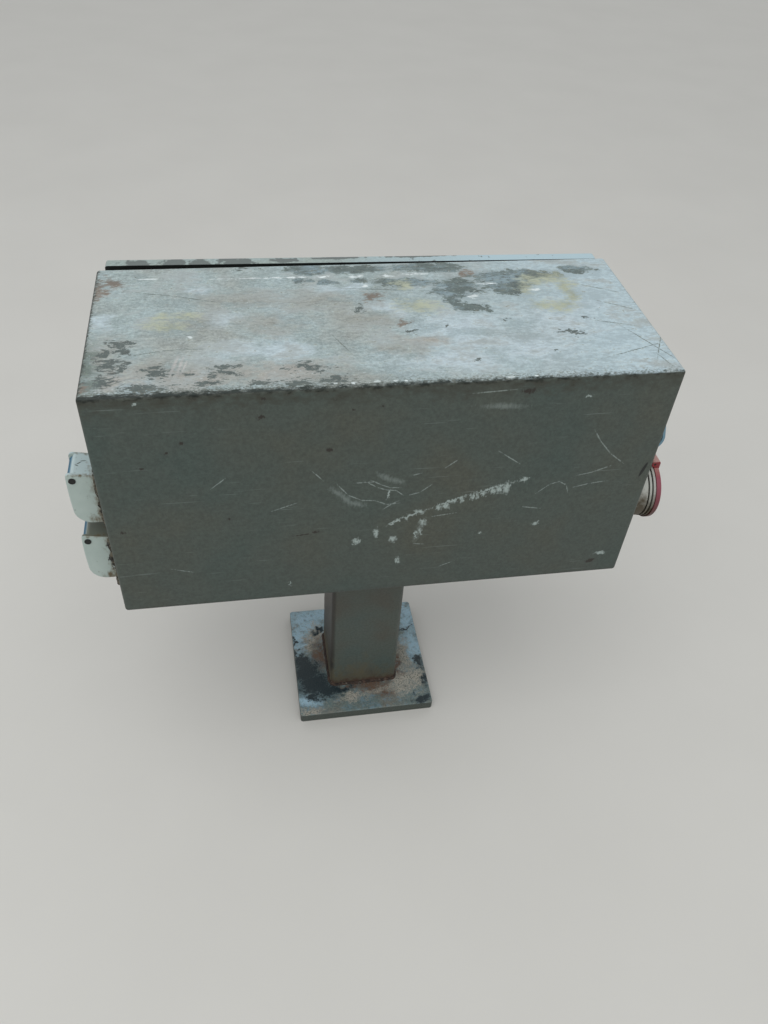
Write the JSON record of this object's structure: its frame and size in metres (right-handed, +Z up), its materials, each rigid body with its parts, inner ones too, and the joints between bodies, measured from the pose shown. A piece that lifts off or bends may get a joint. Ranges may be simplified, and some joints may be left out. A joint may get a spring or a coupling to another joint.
{
  "type": "construction site distribution board",
  "caption": "Steel electrical cabinet on a square post with a base plate, with side outlets under spring flaps, a round industrial socket, a hinged door and breakers inside.",
  "frame": {"origin": "centre of the base plate's underside", "axes": "+X along the cabinet's width, towards the wall with two outlets; +Y towards the plain back panel, the door faces -Y; +Z up"},
  "size_m": [0.6909, 0.2817, 0.62],
  "materials": {
    "blue_paint": "weathered pale blue enamel, chipped",
    "grey_paint": "dark green-grey weathered paint with light scratches",
    "stand_paint": "dark green-grey paint, worn and rusty at the welds",
    "plate_paint": "worn blue-grey paint over dark steel, rusty",
    "weld_steel": "rough rusted weld bead",
    "zinc_steel": "dull zinc-plated steel",
    "lock_metal": "dull plated die-cast metal",
    "seal_foam": "black closed-cell foam",
    "seal_rubber": "dark rubber with brown dirt at its edge",
    "pale_plastic": "sun-bleached pale grey plastic, dirty at its joints",
    "blue_plastic": "sun-bleached light blue plastic",
    "red_plastic": "faded red plastic",
    "grey_plastic": "light grey plastic, brown with dirt below",
    "dark_plastic": "dark grey plastic",
    "black_plastic": "black plastic",
    "device_plastic": "light grey moulded plastic",
    "guard_plastic": "light grey sheet plastic",
    "brass_metal": "plain brass",
    "copper_metal": "copper-coloured strip"
  },
  "bodies": {
    "cabinet": {"base_plate": "plate_paint", "post": "stand_paint", "post_welds": "weld_steel", "head_plate": "stand_paint", "stand_bolts": "zinc_steel", "stand_nuts": "zinc_steel", "cabinet_shell": "grey_paint", "door_frame": "grey_paint", "door_seal": "seal_foam", "hinge_frame_leaves": "grey_paint", "hinge_pins": "zinc_steel", "upper_outlet_housing": "pale_plastic", "lower_outlet_housing": "pale_plastic", "far_outlet_housing": "pale_plastic", "contact_blocks": "dark_plastic", "outlet_pins": "black_plastic", "outlet_screws": "zinc_steel", "wall_seals": "seal_rubber", "lid_springs": "zinc_steel", "socket_body": "grey_plastic", "socket_collar": "grey_plastic", "contact_carrier": "dark_plastic", "contact_sleeves": "brass_metal", "socket_pin": "zinc_steel", "socket_screws": "zinc_steel", "cable_gland": "black_plastic", "gland_nut": "black_plastic", "mounting_plate": "zinc_steel", "tray_spacers": "zinc_steel", "tray_fixings": "zinc_steel", "rail": "zinc_steel", "residual_current_device": "device_plastic", "socket_breaker": "device_plastic", "outlet_breaker_1": "device_plastic", "outlet_breaker_2": "device_plastic", "outlet_breaker_3": "device_plastic", "comb_busbar": "copper_metal", "neutral_bar": "brass_metal", "earth_bar": "brass_metal", "bar_feet": "dark_plastic", "inlet_terminals": "dark_plastic", "touch_guard": "guard_plastic", "guard_pillars": "zinc_steel"},
    "door": {"door_panel": "blue_paint", "hinge_door_leaves": "blue_paint", "lock_body": "lock_metal", "lock_nut": "zinc_steel"},
    "lock": {"lock_core": "lock_metal", "lock_cam": "zinc_steel", "cam_screw": "zinc_steel"},
    "upper_flap": {"upper_outlet_flap": "blue_plastic"},
    "lower_flap": {"lower_outlet_flap": "blue_plastic"},
    "far_flap": {"far_outlet_flap": "blue_plastic"},
    "lid": {"socket_lid": "red_plastic"},
    "rcd_lever": {"rcd_toggle": "dark_plastic"},
    "socket_breaker_lever": {"socket_breaker_toggle": "dark_plastic"},
    "outlet_breaker_lever_1": {"outlet_breaker_toggle_1": "dark_plastic"},
    "outlet_breaker_lever_2": {"outlet_breaker_toggle_2": "dark_plastic"},
    "outlet_breaker_lever_3": {"outlet_breaker_toggle_3": "dark_plastic"},
    "button": {"test_button": "device_plastic"}
  },
  "joints": [
    {"name": "door_hinge", "type": "hinge", "parent": "cabinet", "child": "door", "pos_m": [-0.3025, -0.135, 0.4675], "axis": [0, 0, -1], "range_deg": [-1, 120]},
    {"name": "lock_turn", "type": "hinge", "parent": "door", "child": "lock", "pos_m": [0.26776, -0.15396, 0.4675], "axis": [-0.0175, -0.9998, 0], "range_deg": [0, 90]},
    {"name": "upper_flap_hinge", "type": "hinge", "parent": "cabinet", "child": "upper_flap", "pos_m": [0.3335, 0.077, 0.4965], "axis": [0, -1, 0], "range_deg": [0, 85], "stiffness_Nm_per_rad": 0.01, "springref_deg": -28.65},
    {"name": "lower_flap_hinge", "type": "hinge", "parent": "cabinet", "child": "lower_flap", "pos_m": [0.3335, 0.077, 0.4065], "axis": [0, -1, 0], "range_deg": [0, 85], "stiffness_Nm_per_rad": 0.01, "springref_deg": -28.65},
    {"name": "far_flap_hinge", "type": "hinge", "parent": "cabinet", "child": "far_flap", "pos_m": [-0.3335, 0.047, 0.521], "axis": [0, 1, 0], "range_deg": [-15, 70]},
    {"name": "lid_hinge", "type": "hinge", "parent": "cabinet", "child": "lid", "pos_m": [-0.3383, 0.0665, 0.4517], "axis": [0, 1, 0], "range_deg": [0, 95], "stiffness_Nm_per_rad": 0.03, "springref_deg": -34.38},
    {"name": "rcd_lever_turn", "type": "hinge", "parent": "cabinet", "child": "rcd_lever", "pos_m": [-0.1098, 0.0273, 0.4925], "axis": [1, 0, 0], "range_deg": [0, 80]},
    {"name": "socket_breaker_lever_turn", "type": "hinge", "parent": "cabinet", "child": "socket_breaker_lever", "pos_m": [-0.036, 0.0273, 0.4925], "axis": [1, 0, 0], "range_deg": [0, 80]},
    {"name": "outlet_breaker_lever_1_turn", "type": "hinge", "parent": "cabinet", "child": "outlet_breaker_lever_1", "pos_m": [0, 0.0273, 0.4925], "axis": [1, 0, 0], "range_deg": [0, 80]},
    {"name": "outlet_breaker_lever_2_turn", "type": "hinge", "parent": "cabinet", "child": "outlet_breaker_lever_2", "pos_m": [0.018, 0.0273, 0.4925], "axis": [1, 0, 0], "range_deg": [0, 80]},
    {"name": "outlet_breaker_lever_3_turn", "type": "hinge", "parent": "cabinet", "child": "outlet_breaker_lever_3", "pos_m": [0.036, 0.0273, 0.4925], "axis": [1, 0, 0], "range_deg": [0, 80]},
    {"name": "button_press", "type": "slide", "parent": "cabinet", "child": "button", "axis": [0, 1, 0], "range_m": [0, 0.002], "stiffness_N_per_m": 100, "springref_m": -0.002}
  ]
}
